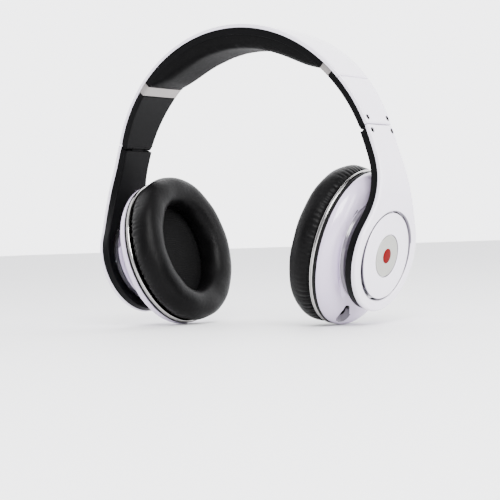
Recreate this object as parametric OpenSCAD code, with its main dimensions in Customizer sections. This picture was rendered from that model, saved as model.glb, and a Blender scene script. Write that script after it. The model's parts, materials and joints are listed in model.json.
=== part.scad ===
// Folding over-ear headphones.
// Frame: +X is the wearer's left, -Y is the wearer's front, +Z is up.
// The origin is on the underside of the head cushion, at the crown.

/* [Headband] */
// Outer radius of the headband's arc
band_r = 97; // [95:0.5:99]
// Half width of the band at the crown
crown_hw = 18.5; // [17:0.5:20]
// Half width of the band halfway down each side
mid_hw = 16.5; // [16:0.25:17]
// Half width of the band at the folding hinge
hinge_hw = 13; // [12.5:0.25:13.5]
// Thickness of the white outer shells
shell_t = 2.6; // [2.2:0.1:2.8]
// Thickness of the head cushion at the crown
cushion_t = 7.7; // [6:0.1:9]
// Angle from the crown to the end of the head cushion
cushion_end = 43.7; // [40:0.1:45]
// Angle from the crown to the seam of the outer shell
seam_angle = 51.5; // [50:0.1:53]
// Angle from the crown to the folding hinge
hinge_angle = 70.7; // [70:0.1:71.5]

/* [Arms] */
// Distance from the middle to the centre of each outer disc
ear_x = 92.7; // [92:0.1:93.5]
// Depth of the disc centres below the origin
ear_drop = 125.3; // [124.5:0.1:126.5]
// Inward tilt of the cups from upright
tilt = 14.5; // [14:0.1:15]
// Radius of the round paddle at the arm's end
paddle_r = 32.2; // [32:0.1:33]
// Radius of the hole in the paddle
paddle_hole_r = 25.8; // [25.8:0.1:26.2]
// Half width of the arm where its flare begins
neck_hw = 12.9; // [12.5:0.1:13]
// Height of that place above the disc centre
neck_up = 65; // [63:0.5:67]
// Overall thickness of the arm
arm_t = 7.2; // [7:0.1:7.4]

/* [Ear cups] */
// Half height of the cup's oval
cup_up = 45.4; // [45:0.1:46.5]
// Half depth of the cup's oval, front to back
cup_fwd = 40.2; // [39.5:0.1:40.5]
// Thickness of the ear cushion
pad_t = 17; // [16:0.1:18]
// Radius of the outer disc
disc_r = 24.8; // [24.3:0.1:24.8]
// Radius of the neck that carries the disc
neck_r = 21.5; // [21:0.1:21.6]
// Radius of the loudspeaker
driver_r = 20; // [18:0.5:21]
// Radius of the jack socket's bore
jack_r = 1.8; // [1.75:0.05:1.9]

/* [Hidden] */
// Gap between parts that move on each other
gap = 0.3;
// Running clearance of a pin in its bore
running = 0.05;
// Radius of the liner's underside, and the height of the arc's centre
liner_r = 90.2;
arc_z = cushion_t - liner_r;
// Radii of the layers of the band, from the outside in
under_shell = band_r - shell_t;
spring_r = under_shell - 0.7;
rail_top = spring_r - gap;
rail_low = rail_top - 1.4;
floor_r = rail_low - gap;
slider_low = band_r - 6.6;
// Half widths of the steel rail and of its guides
rail_hw = 10.5;
guide_out = 12.4;
// Side walls of the liners: set in from the edge, and their thickness
wall_in = 0.3;
wall_t = 1.7;
// Where the slider's hidden and hollow stretches end
slider_top = 48.3;
hollow_end = 66.2;
rail_in = 27;
// Half of the hinge seam, in degrees
seam_half = 0.15;
// Radius of the notch that lets the arm's inner edge fold past the slider
notch_r = 3.2;
// Hinge barrel
hinge_r = 92.4;
barrel_r = 1.9;
pin_r = 0.9;
knuckle_hw = 5.6;
pin_hw = 11;
// Screws beside the hinge
screw_y = 10.6;
screw_step = 2.35;
// Radii of the arm's two bends, from the hinge down
arm_bend = 450;
arm_turn = 16.5;
// The disc's resting attitude in its gimbal: top inward, and front outward
cup_pitch = 1.8;
cup_toe = 1.5;
// Places along the cup's axis, measured from the disc's outer face
pivot_a = -5.6;
step_a = -11.8;
lip_a = -13.6;
groove_a = -24;
trim_a = -25.4;
plate_a = -27.9;
pad_a = -28.3;
frame_a = plate_a + 3.6;
// Centre of the cup's oval, its backward lean, and its own tip about the pivot
oval_up = -1.45;
oval_fwd = -5.8;
lean = -7.2;
oval_pitch = -1.7;
wall = 2;
gimbal_pin_r = 0.9;
// Jack socket: where its mouth is, how far its axis leans outward, how far it is sunk
jack_len = 10;
jack_lean = 22;
jack_at = [-37.1, 6, -17.6];
jack_sunk = 3.2;
// Travel of the power switch
switch_travel = 3;

white = [0.93, 0.92, 0.96];
black = [0.06, 0.06, 0.07];
steel = [0.72, 0.73, 0.75];

// ---- shared shapes ----

// A stretch of the band's arc, from one angle to another
module arc_strip(from, to, r_out, r_in, hw) {
    translate([0, 0, arc_z])
        rotate([90, 0, 0])
            rotate([0, 0, 90 - to])
                rotate_extrude(angle = to - from, $fn = 180)
                    translate([r_in, -hw])
                        square([r_out - r_in, 2 * hw]);
}

// Puts a child on the arc, its own +Z pointing away from the arc's centre
module on_arc(angle, y = 0) {
    translate([0, 0, arc_z])
        rotate([0, angle, 0])
            translate([0, y, 0])
                children();
}

// The band's outline seen from the side, as a prism along X
module band_prism(inset) {
    half = [
        [crown_hw, 30],
        [crown_hw, band_r + arc_z],
        [mid_hw, band_r * cos(45) + arc_z],
        [hinge_hw, band_r * cos(hinge_angle) + arc_z],
        [neck_hw, neck_up - ear_drop]
    ];
    last = len(half) - 1;
    translate([-130, 0, 0])
        rotate([90, 0, 90])
            linear_extrude(260)
                polygon(concat(
                    [for (p = half) [p[0] - inset, p[1]]],
                    [for (i = [last:-1:0]) [inset - half[i][0], half[i][1]]]));
}

// A cylinder along Y through the folding hinge
module hinge_rod(r, from, to) {
    translate([hinge_r * sin(hinge_angle), from, hinge_r * cos(hinge_angle) + arc_z])
        rotate([-90, 0, 0])
            cylinder(r = r, h = to - from, $fn = 48);
}

// The paddle's frame: +X up, +Y forward, +Z outward
module in_paddle() {
    translate([ear_x, 0, -ear_drop])
        rotate([0, 90 + tilt, 0])
            rotate([0, 0, 180])
                children();
}

// The same frame, tipped about the gimbal's pins in the paddle
module in_gimbal() {
    in_paddle()
        translate([0, 0, pivot_a])
            rotate([0, cup_pitch, 0])
                translate([0, 0, -pivot_a])
                    children();
}

// The cup's own frame, swung about the gimbal's pins in the neck
module in_cup() {
    in_gimbal()
        translate([0, 0, pivot_a])
            rotate([cup_toe, 0, 0])
                translate([0, 0, -pivot_a])
                    children();
}

// The middle of the cup's oval, leaning back and tipped apart from the disc
module in_oval() {
    in_paddle()
        translate([0, 0, pivot_a])
            rotate([0, oval_pitch, 0])
                translate([oval_up, oval_fwd, -pivot_a])
                    rotate([0, 0, lean])
                        children();
}

function oval(rx, ry, count = 72) =
    [for (i = [0:count - 1]) [rx * cos(i * 360 / count), ry * sin(i * 360 / count)]];

// An oval plate that is smaller than the cup by an inset
module oval_plate(inset, low, high) {
    translate([0, 0, low])
        linear_extrude(high - low)
            polygon(oval(cup_up - inset, cup_fwd - inset));
}

// A round plate or tube along the cup's axis
module round_plate(r, low, high) {
    translate([0, 0, low])
        cylinder(r = r, h = high - low, $fn = 96);
}

// A screw with its head outward
module screw(head_r, head_h, shank_r, length) {
    cylinder(r = head_r, h = head_h, $fn = 32);
    translate([0, 0, -length])
        cylinder(r = shank_r, h = length, $fn = 32);
}

// ---- headband ----

module headband_shell() {
    color(white)
        difference() {
            intersection() {
                arc_strip(-seam_angle, seam_angle, band_r, under_shell, 25);
                band_prism(0);
            }
            headband_screw_holes(0.8, under_shell - 1, under_shell + 1);
        }
}

module headband_screw_holes(r, low, high) {
    for (angle = [-32, 32], y = [-14, 14])
        on_arc(angle, y)
            translate([0, 0, low])
                cylinder(r = r, h = high - low, $fn = 32);
}

module headband_spring() {
    color(steel)
        arc_strip(-50, 50, under_shell, spring_r, 8);
}

module headband_liner() {
    color(black)
        difference() {
            intersection() {
                arc_strip(-cushion_end, cushion_end, under_shell, liner_r, 25);
                band_prism(wall_in);
            }
            intersection() {
                arc_strip(-60, 60, under_shell + 1, floor_r, 25);
                band_prism(wall_in + wall_t);
            }
            headband_screw_holes(0.8, liner_r - 1, floor_r + 1);
            headband_screw_holes(1.6, liner_r - 1, liner_r + 0.7);
        }
}

function cushion_depth(a) = cushion_t * (1 - pow(abs(a) / (cushion_end - 0.4), 6));

module headband_cushion() {
    ends = cushion_end - 0.5;
    color("dimgray")
        translate([0, 15, arc_z])
            rotate([90, 0, 0])
                linear_extrude(30)
                    polygon(concat(
                        [for (a = [-ends:ends / 24:ends + 0.01]) liner_r * [sin(a), cos(a)]],
                        [for (a = [ends:-ends / 24:-ends - 0.01])
                            (liner_r - cushion_depth(a)) * [sin(a), cos(a)]]));
}

module headband_screws() {
    color(steel) {
        headband_screw_holes(1.6, liner_r, liner_r + 0.7);
        headband_screw_holes(0.8, liner_r, under_shell + 1);
    }
}

module slide_guide() {
    color(black)
        for (s = [-1, 1])
            translate([0, s * (rail_hw + gap + guide_out) / 2, 0])
                arc_strip(rail_in + 1, seam_angle - 0.5, under_shell, rail_low,
                    (guide_out - rail_hw - gap) / 2);
}

// The bright ferrule at each end of the head cushion, round the rail and its guides
module end_collar() {
    color([0.8, 0.8, 0.82])
        difference() {
            intersection() {
                arc_strip(cushion_end + 0.2, slider_top - 0.2, under_shell, slider_low, 25);
                band_prism(wall_in);
            }
            arc_strip(cushion_end - 2, slider_top + 2, under_shell + 1, floor_r, guide_out);
        }
}

// ---- slider: moves round the arc's centre to lengthen the band ----

module slider_shell() {
    color(white)
        difference() {
            intersection() {
                arc_strip(seam_angle + 0.2, hinge_angle - seam_half, band_r, under_shell, 25);
                band_prism(0);
            }
            hinge_screw_holes(-1);
        }
}

// Recesses and holes for the pair of screws on one side of the hinge seam
module hinge_screw_holes(side) {
    for (y = [-screw_y, screw_y])
        on_arc(hinge_angle + side * screw_step, y) {
            translate([0, 0, band_r - 1.6])
                cylinder(r = 1.3, h = 5, $fn = 32);
            translate([0, 0, under_shell - 3])
                cylinder(r = 0.7, h = 5, $fn = 32);
        }
}

module hinge_screws(side) {
    color([0.2, 0.2, 0.22])
        for (y = [-screw_y, screw_y])
            on_arc(hinge_angle + side * screw_step, y)
                translate([0, 0, band_r - 1.6])
                    screw(1.15, 1.4, 0.7, 3.4);
}

module slider_rail() {
    color(steel)
        arc_strip(rail_in, hollow_end - 0.3, rail_top, rail_low, rail_hw);
}

module slider_liner() {
    color(black)
        difference() {
            intersection() {
                union() {
                    arc_strip(slider_top, seam_angle + 1, under_shell - gap, slider_low, 25);
                    arc_strip(seam_angle + 0.2, hinge_angle - seam_half, under_shell,
                        slider_low, 25);
                    outer_knuckles();
                }
                band_prism(wall_in);
            }
            intersection() {
                arc_strip(slider_top - 2, hollow_end, under_shell + 1, floor_r, 25);
                band_prism(wall_in + wall_t);
            }
            hinge_rod(barrel_r + gap, -knuckle_hw - gap, knuckle_hw + gap);
            hinge_rod(pin_r, -25, 25);
            hinge_screw_holes(-1);
        }
}

// The slider's half of the hinge barrel, at each side of the arm's knuckle
module outer_knuckles() {
    for (s = [-1, 1])
        hinge_rod(barrel_r, s > 0 ? knuckle_hw + gap : -12, s > 0 ? 12 : -knuckle_hw - gap);
}

module hinge_pin() {
    color(steel)
        hinge_rod(pin_r, -pin_hw, pin_hw);
}

// ---- arm: folds inward about the hinge and ends in the paddle ----

// Places along the arm's outer face, each as [x, height above the disc centre, heading]
start_angle = hinge_angle + seam_half;
arm_start = [band_r * sin(start_angle), band_r * cos(start_angle) + arc_z + ear_drop];
head_0 = 90 - start_angle;
function bend(p, h0, h, r) = [p[0] + r * (cos(h) - cos(h0)), p[1] - r * (sin(h0) - sin(h))];
arm_mid = bend(arm_start, head_0, arm_turn, arm_bend);
short_of_plane = (arm_mid[0] - ear_x) * cos(tilt) - arm_mid[1] * sin(tilt);
low_bend = -short_of_plane / (1 - cos(tilt + arm_turn));
arm_path = concat(
    [for (i = [0:4])
        let (h = head_0 + (arm_turn - head_0) * i / 4)
            concat(bend(arm_start, head_0, h, arm_bend), [h])],
    [for (i = [1:8])
        let (h = arm_turn - (tilt + arm_turn) * i / 8)
            concat(bend(arm_mid, arm_turn, h, low_bend), [h])],
    [[ear_x - 45 * sin(tilt), -45 * cos(tilt), -tilt]]);

// The arm's thickness seen from the front, between two depths below its outer face
module arm_slab(from, to) {
    outer = [for (p = arm_path) [p[0] - from * cos(p[2]), p[1] - from * sin(p[2])]];
    inner = [for (p = arm_path) [p[0] - to * cos(p[2]), p[1] - to * sin(p[2])]];
    last = len(arm_path) - 1;
    translate([0, 40, -ear_drop])
        rotate([90, 0, 0])
            linear_extrude(80)
                polygon(concat(outer, [for (i = [last:-1:0]) inner[i]]));
}

// The arm's outline seen from the side, flaring into the round paddle
fillet_r = (pow(neck_hw, 2) + pow(neck_up, 2) - pow(paddle_r, 2)) / (2 * (paddle_r - neck_hw));
fillet_end = atan2(neck_up, neck_hw + fillet_r);
module arm_prism(inset) {
    strap = concat(
        [[hinge_hw, band_r * cos(hinge_angle) + arc_z + ear_drop]],
        [for (i = [0:8])
            let (a = fillet_end * i / 8)
                [neck_hw + fillet_r * (1 - cos(a)), neck_up - fillet_r * sin(a)]]);
    last = len(strap) - 1;
    top = strap[0][1] + 10;
    translate([40, 0, -ear_drop])
        rotate([90, 0, 90])
            linear_extrude(90)
                polygon(concat(
                    [[hinge_hw - inset, top]],
                    [for (p = strap) [p[0] - inset, p[1]]],
                    [for (i = [last:-1:0]) [inset - strap[i][0], strap[i][1]]],
                    [[inset - hinge_hw, top]]));
    in_paddle()
        round_plate(paddle_r - inset, -20, 10);
}

module arm_shell() {
    color(white)
        difference() {
            intersection() {
                arm_slab(0, shell_t);
                arm_prism(0);
            }
            in_paddle()
                round_plate(paddle_hole_r, -20, 10);
            hinge_screw_holes(1);
        }
}

module arm_liner() {
    color(black)
        difference() {
            union() {
                difference() {
                    intersection() {
                        arm_slab(shell_t, arm_t);
                        arm_prism(wall_in);
                    }
                    arm_hollow();
                    hinge_rod(barrel_r + gap, -25, 25);
                    hinge_notch();
                }
                hinge_rod(barrel_r, -knuckle_hw, knuckle_hw);
                // Web that joins the knuckle to the liner
                arc_strip(hinge_angle + 0.4, hinge_angle + 2.6, under_shell - 0.2,
                    hinge_r - 1.2, knuckle_hw - gap);
            }
            hinge_rod(pin_r + running, -25, 25);
            in_paddle() {
                round_plate(paddle_hole_r, -20, 10);
                translate([0, -30, pivot_a])
                    rotate([-90, 0, 0])
                        cylinder(r = gimbal_pin_r + running, h = 60, $fn = 32);
            }
            hinge_screw_holes(1);
        }
}

// Room on the inner side of the pin for the arm to fold past the slider
module hinge_notch() {
    intersection() {
        hinge_rod(notch_r, -25, 25);
        arc_strip(hinge_angle - 5, hinge_angle + 5, hinge_r - 0.6, hinge_r - 6, 25);
    }
}

// The hollow under the strap's shell
module arm_hollow() {
    intersection() {
        arm_slab(shell_t - 1, arm_t - 1.6);
        arm_prism(wall_in + wall_t);
        translate([0, -40, 29 - ear_drop])
            cube([130, 80, 36]);
    }
}

module gimbal_ring() {
    color(steel)
        in_gimbal() {
            difference() {
                round_plate(paddle_hole_r - 0.8, pivot_a - 1, pivot_a + 1);
                round_plate(neck_r + 0.8, pivot_a - 2, pivot_a + 2);
            }
            for (s = [0, 180])
                rotate([0, 0, s])
                    translate([0, 0, pivot_a]) {
                        translate([0, neck_r + 2, 0])
                            rotate([-90, 0, 0])
                                cylinder(r = gimbal_pin_r, h = 6, $fn = 32);
                        translate([neck_r - 1.7, 0, 0])
                            rotate([0, 90, 0])
                                cylinder(r = gimbal_pin_r, h = 4, $fn = 32);
                    }
        }
}

// ---- ear cup ----

// The dome, smaller all round by an inset and reaching lower by an extra depth
module dome(inset, lower) {
    rings = [[9, -14.2 - inset], [4.2, -16.4 - inset], [1.2, -19.9 - inset],
        [0, groove_a + 1], [0.3, groove_a - lower]];
    hull() {
        in_cup()
            translate([0, 0, lip_a - inset])
                cylinder(r = 30 - inset, h = 0.01, $fn = 48);
        for (ring = rings)
            in_oval()
                translate([0, 0, ring[1]])
                    linear_extrude(0.01)
                        polygon(oval(cup_up - ring[0] - inset, cup_fwd - ring[0] - inset, 48));
    }
}

module cup_housing(extra) {
    color(white)
        difference() {
            union() {
                difference() {
                    dome(0, 0);
                    dome(wall, 1);
                }
                in_cup() {
                    round_plate(neck_r, lip_a - 3, -3.2);
                    round_plate(27.5, lip_a - 1, step_a);
                }
            }
            in_cup() {
                round_plate(neck_r - 2.5, lip_a - 10, 0);
                translate([-30, 0, pivot_a])
                    rotate([0, 90, 0])
                        cylinder(r = gimbal_pin_r + running, h = 60, $fn = 32);
            }
            if (extra == "jack")
                at_jack()
                    translate([0, 0, -jack_len - 6])
                        cylinder(r = 3.2, h = jack_len + 10, $fn = 48);
            if (extra == "switch")
                switch_cut();
        }
}

// Places a child at the socket's mouth, its +Z pointing out of the bore
module at_jack() {
    in_cup()
        translate(jack_at)
            rotate([0, -90 + jack_lean, 0])
                children();
}

module jack_socket() {
    color(black)
        at_jack()
            translate([0, 0, -jack_sunk - jack_len - 1])
                difference() {
                    cylinder(r = 3.2, h = jack_len + 1, $fn = 48);
                    translate([0, 0, 1])
                        cylinder(r = jack_r, h = jack_len + 1, $fn = 48);
                }
}

// Slot and lens hole at the back of the cup
module switch_cut() {
    in_oval() {
        translate([-6, -cup_fwd - 4, -21.6])
            cube([5 + switch_travel, 10, 2.6]);
        translate([8, -cup_fwd + 5, -20.3])
            rotate([90, 0, 0])
                cylinder(r = 1, h = 10, $fn = 32);
    }
}

module power_switch() {
    color(black)
        in_oval() {
            translate([-5.7, -cup_fwd - 0.9, -21.3])
                cube([4.4, 7.5, 2]);
            translate([-7.5, -cup_fwd + 6.2, -22.4])
                cube([8, 1, 3]);
        }
}

module status_lens() {
    color([0.8, 0.2, 0.2])
        in_oval()
            translate([8, -cup_fwd + 3, -20.3])
                rotate([90, 0, 0])
                    cylinder(r = 1, h = 2.4, $fn = 32);
}

module seal_ring() {
    color(black)
        in_oval()
            difference() {
                oval_plate(1.6, trim_a, groove_a);
                oval_plate(8, trim_a - 1, groove_a + 1);
            }
}

module trim_ring() {
    color([0.85, 0.86, 0.88])
        in_oval()
            difference() {
                oval_plate(-0.4, plate_a, trim_a);
                oval_plate(3, plate_a - 1, trim_a + 1);
            }
}

module baffle() {
    color(black)
        in_oval()
            difference() {
                oval_plate(3, plate_a, trim_a);
                round_plate(driver_r, plate_a - 1, trim_a + 1);
                baffle_screw_holes(0.8, plate_a - 1, trim_a + 1);
            }
}

module baffle_screw_holes(r, low, high) {
    for (a = [40, 140, 220, 320])
        rotate([0, 0, a])
            translate([29.5, 0, 0])
                round_plate(r, low, high);
}

module baffle_screws() {
    color(steel)
        in_oval()
            baffle_screw_holes(0.8, plate_a, trim_a + 5);
}

module driver_frame() {
    color([0.15, 0.15, 0.16])
        in_oval()
            difference() {
                union() {
                    round_plate(driver_r, plate_a, frame_a);
                    translate([0, 0, frame_a])
                        cylinder(r1 = driver_r, r2 = 13, h = 3.5, $fn = 96);
                }
                round_plate(driver_r - 1.5, plate_a - 1, frame_a - 0.2);
                round_plate(11, frame_a - 1, frame_a + 5);
            }
}

module driver_magnet() {
    color(steel)
        in_oval()
            round_plate(11, frame_a + 0.1, frame_a + 6);
}

module diaphragm() {
    color([0.35, 0.33, 0.3])
        in_oval()
            translate([0, 0, frame_a - 2.1])
                rotate_extrude($fn = 96)
                    polygon([[0, 0.9], [0, 1.2], [8, 1.2], [driver_r - 1.5, 0.3],
                        [driver_r - 1.5, 0], [8, 0.9]]);
}

module ear_screen() {
    color([0.1, 0.1, 0.11])
        in_oval()
            translate([0, 0, pad_a])
                linear_extrude(plate_a - pad_a)
                    polygon(oval(cup_up - 14, cup_fwd - 14));
}

module ear_cushion() {
    color([0.08, 0.08, 0.09])
        in_oval()
            difference() {
                hull() {
                    for (step = [[1.8, 0], [-0.8, 0.2], [-1.3, 0.5], [0.5, 0.8], [5, 1]])
                        translate([0, 0, pad_a - step[1] * pad_t - 0.01])
                            linear_extrude(0.01)
                                polygon(oval(cup_up - step[0], cup_fwd - step[0], 48));
                }
                translate([0, 0, pad_a - 40])
                    linear_extrude(50)
                        polygon(oval(cup_up - 18.5, cup_fwd - 18.5, 48));
            }
}

module circuit_board() {
    color([0.05, 0.3, 0.15])
        in_oval() {
            translate([22, -12, -21])
                cube([13, 24, 1.2]);
            translate([25, -6, -19.8])
                cube([6, 7, 1.1]);
        }
}

// ---- what sits in the cup's neck ----

module battery_holder() {
    color(black)
        in_cup()
            difference() {
                round_plate(neck_r - 2.5, -13.4, -9);
                round_plate(12.3, -12.4, -8);
            }
}

module battery_cell() {
    color([0.2, 0.45, 0.7])
        in_cup()
            round_plate(12, -12.4, -7.6);
}

// The outer disc with its hollow underside and guiding skirt
module disc_cover() {
    difference() {
        union() {
            round_plate(disc_r, -1.3, 0);
            round_plate(neck_r - 2.8, -6.2, -1.3);
        }
        round_plate(neck_r - 4.5, -7, -1.3);
        round_plate(11.8, -0.6, 1);
    }
}

module battery_cover() {
    color(white)
        in_cup()
            disc_cover();
}

module mute_button() {
    color(white)
        in_cup()
            disc_cover();
}

module badge() {
    color([0.75, 0.75, 0.77])
        in_cup()
            round_plate(11.8, -0.6, 0.1);
}

module mute_switch() {
    color(black)
        in_cup() {
            round_plate(neck_r - 2.5, -13.4, -11.4);
            round_plate(4, -11.4, -3.2);
        }
}

// ---- the assembly ----

headband_shell();
headband_spring();
headband_liner();
headband_cushion();
headband_screws();
slide_guide();  // left_slide_guide
mirror([1, 0, 0]) slide_guide();  // right_slide_guide
end_collar();  // left_end_collar
mirror([1, 0, 0]) end_collar();  // right_end_collar
slider_shell();  // left_slider_shell
slider_rail();  // left_slider_rail
slider_liner();  // left_slider_liner
hinge_pin();  // left_hinge_pin
hinge_screws(-1);  // left_slider_screws
mirror([1, 0, 0]) slider_shell();  // right_slider_shell
mirror([1, 0, 0]) slider_rail();  // right_slider_rail
mirror([1, 0, 0]) slider_liner();  // right_slider_liner
mirror([1, 0, 0]) hinge_pin();  // right_hinge_pin
mirror([1, 0, 0]) hinge_screws(-1);  // right_slider_screws
arm_shell();  // left_arm_shell
arm_liner();  // left_arm_liner
hinge_screws(1);  // left_arm_screws
mirror([1, 0, 0]) arm_shell();  // right_arm_shell
mirror([1, 0, 0]) arm_liner();  // right_arm_liner
mirror([1, 0, 0]) hinge_screws(1);  // right_arm_screws
gimbal_ring();  // left_gimbal_ring
mirror([1, 0, 0]) gimbal_ring();  // right_gimbal_ring
cup_housing("jack");  // left_cup_housing
seal_ring();  // left_seal_ring
trim_ring();  // left_trim_ring
baffle();  // left_baffle
baffle_screws();  // left_baffle_screws
driver_frame();  // left_driver_frame
driver_magnet();  // left_driver_magnet
diaphragm();  // left_diaphragm
ear_screen();  // left_ear_screen
ear_cushion();  // left_ear_cushion
circuit_board();  // left_circuit_board
mirror([1, 0, 0]) cup_housing("switch");  // right_cup_housing
mirror([1, 0, 0]) seal_ring();  // right_seal_ring
mirror([1, 0, 0]) trim_ring();  // right_trim_ring
mirror([1, 0, 0]) baffle();  // right_baffle
mirror([1, 0, 0]) baffle_screws();  // right_baffle_screws
mirror([1, 0, 0]) driver_frame();  // right_driver_frame
mirror([1, 0, 0]) driver_magnet();  // right_driver_magnet
mirror([1, 0, 0]) diaphragm();  // right_diaphragm
mirror([1, 0, 0]) ear_screen();  // right_ear_screen
mirror([1, 0, 0]) ear_cushion();  // right_ear_cushion
mirror([1, 0, 0]) circuit_board();  // right_circuit_board
jack_socket();
battery_holder();
battery_cell();
battery_cover();
badge();  // left_badge
mirror([1, 0, 0]) mute_switch();
mirror([1, 0, 0]) mute_button();
mirror([1, 0, 0]) badge();  // right_badge
mirror([1, 0, 0]) power_switch();
mirror([1, 0, 0]) status_lens();
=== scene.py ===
import json
import math

import bmesh
import bpy
import numpy as np
from mathutils import Matrix, Vector


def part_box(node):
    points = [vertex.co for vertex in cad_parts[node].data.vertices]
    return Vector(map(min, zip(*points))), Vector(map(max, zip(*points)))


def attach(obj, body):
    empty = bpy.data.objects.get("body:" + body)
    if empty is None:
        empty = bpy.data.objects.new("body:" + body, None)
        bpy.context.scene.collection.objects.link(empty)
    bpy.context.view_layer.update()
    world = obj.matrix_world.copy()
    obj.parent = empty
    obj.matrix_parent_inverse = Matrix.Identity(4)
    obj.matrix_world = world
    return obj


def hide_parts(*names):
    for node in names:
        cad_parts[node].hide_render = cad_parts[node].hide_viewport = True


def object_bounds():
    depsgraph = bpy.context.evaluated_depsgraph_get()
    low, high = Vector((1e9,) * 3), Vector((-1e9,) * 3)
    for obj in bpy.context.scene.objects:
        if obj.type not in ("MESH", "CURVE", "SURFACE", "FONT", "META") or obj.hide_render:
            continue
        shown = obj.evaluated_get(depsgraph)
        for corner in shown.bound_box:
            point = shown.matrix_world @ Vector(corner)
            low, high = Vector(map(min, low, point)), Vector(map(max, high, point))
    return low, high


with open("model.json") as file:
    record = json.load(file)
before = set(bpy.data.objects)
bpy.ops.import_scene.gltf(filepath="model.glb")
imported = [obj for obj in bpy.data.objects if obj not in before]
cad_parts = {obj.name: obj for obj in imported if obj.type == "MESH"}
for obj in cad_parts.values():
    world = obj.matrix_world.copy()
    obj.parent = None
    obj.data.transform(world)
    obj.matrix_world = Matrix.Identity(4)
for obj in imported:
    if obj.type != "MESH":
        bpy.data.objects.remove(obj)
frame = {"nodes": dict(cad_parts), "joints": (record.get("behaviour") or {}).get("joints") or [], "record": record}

# Over-ear headphones: the looks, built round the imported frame. Lengths inside the
# shape code are millimetres in the frame of the CAD model, and MM turns them to metres.
MM = 0.001
DEGREE = math.radians(1)
CAD_LOW, CAD_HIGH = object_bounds()
JOINTS = {j["name"]: j for j in frame["joints"]}


def joint_place(name):
    return np.array(JOINTS[name]["pos_m"]) / MM


def joint_axis(name):
    axis = np.array(JOINTS[name]["axis"], float)
    return axis / np.linalg.norm(axis)


def box_mm(node):
    low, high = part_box(node)
    return np.array(low) / MM, np.array(high) / MM


# ---- driving sizes, in millimetres ----

ARC_Z = joint_place("left_extend")[2]
BAND_R = box_mm("headband_shell")[1][2] - ARC_Z
CROWN_HW = box_mm("headband_shell")[1][1]
MID_HW = 16.5
HINGE_HW = 13.0
NECK_HW = 12.9
SHELL_T = 2.6
LINER_R = 90.2
SLIDER_LOW = BAND_R - 6.6
SEAM = math.radians(51.5)
HINGE = math.radians(70.7)
SEAM_HALF = math.radians(0.15)
CUSHION_END = math.radians(43.7)
SLIDER_TOP = math.radians(48.3)
EAR_X, EAR_Z = 92.7, -125.3
TILT = math.radians(14.5)
PADDLE_R, PADDLE_HOLE_R = 32.2, 25.8
NECK_UP = 65.0
ARM_T = 7.2
ARM_BEND, ARM_TURN = 450.0, math.radians(16.5)
CROWN_FALL = 0.45
CUP_UP, CUP_FWD = 45.4, 40.2
OVAL_UP, OVAL_FWD = -1.45, -5.8
LEAN, OVAL_PITCH = math.radians(-7.2), math.radians(-1.7)
DISC_R, BADGE_R = 24.8, 11.8
GROOVE_A, TRIM_A, PLATE_A, PAD_A, PAD_T = -24.0, -25.4, -27.9, -28.3, 17.0
HINGE_R, BARREL_R, BARREL_HW, KNUCKLE_HW, GAP = 92.4, 1.9, 12.0, 5.6, 0.3
# Hinge screws: distance from the band's middle, step from the seam in degrees, radii
SCREW_Y, SCREW_STEP, SCREW_HOLE_R, SCREW_HEAD_R = 10.6, 2.35, 1.65, 1.58
HOLLOW_END = math.radians(66.2)
HOLLOW_DEPTH = 5.3
JACK_AT, JACK_LEAN = (-37.1, 6.0, -17.6), math.radians(22)
# The jack's flared mouth: how far out along its axis each ring lies, and its radius
SCOOP = ((-9, 3.25), (-2.6, 3.25), (-0.5, 4.2), (1.5, 5.4), (6, 6.2))
# How far the head cushion's cover is drawn up over the liner's sides
PAD_WRAP = 2.6
# Round the neck's foot, out to this radius, the housing is a recess behind the arm, and there it carries painted
# shade
FOOT_R, FOOT_A = 28.2, -14.2
# Half width of a tool that reaches past every edge
PAST_EDGE = 25
PLEATS = 88
STUFFING_PRESSURE, STUFFING_FRAMES = 4.0, 20

# The cup's frame: up and forward in the plane of the disc, and outward
PIVOT = joint_place("left_tilt")
OUT = joint_axis("battery_door_pull")
UP = joint_axis("left_swivel")
FWD = np.cross(OUT, UP)
PIVOT_A = -5.6
DISC_C = PIVOT - PIVOT_A * OUT
JACK_OUT = -math.cos(JACK_LEAN) * UP + math.sin(JACK_LEAN) * OUT
# The paddle's plane, and the oval's own frame, tipped about the same pivot
PADDLE_UP = np.array([math.sin(TILT), 0, math.cos(TILT)])
PADDLE_OUT = np.array([math.cos(TILT), 0, -math.sin(TILT)])
OVAL_UP_AXIS = math.cos(OVAL_PITCH) * PADDLE_UP - math.sin(OVAL_PITCH) * PADDLE_OUT
OVAL_OUT = math.sin(OVAL_PITCH) * PADDLE_UP + math.cos(OVAL_PITCH) * PADDLE_OUT
OVAL_FWD_AXIS = np.array([0, -1.0, 0])


# ---- meshes ----

def make(name, verts, faces, side=1):
    """A mesh from points in millimetres. Side -1 is its mirror image on the wearer's right."""
    points = np.array(verts, float).reshape(-1, 3) * MM
    if side < 0:
        points[:, 0] *= -1
        faces = [tuple(reversed(f)) for f in faces]
    mesh = bpy.data.meshes.new(name)
    mesh.from_pydata(points.tolist(), [], [tuple(int(i) for i in f) for f in faces])
    work = bmesh.new()
    work.from_mesh(mesh)
    bmesh.ops.remove_doubles(work, verts=work.verts, dist=2e-6)
    bmesh.ops.recalc_face_normals(work, faces=work.faces)
    if work.calc_volume(signed=True) < 0:
        bmesh.ops.reverse_faces(work, faces=work.faces)
    work.to_mesh(mesh)
    work.free()
    mesh.validate()
    for p in mesh.polygons:
        p.use_smooth = True
    obj = bpy.data.objects.new(name, mesh)
    bpy.context.scene.collection.objects.link(obj)
    return obj


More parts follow.
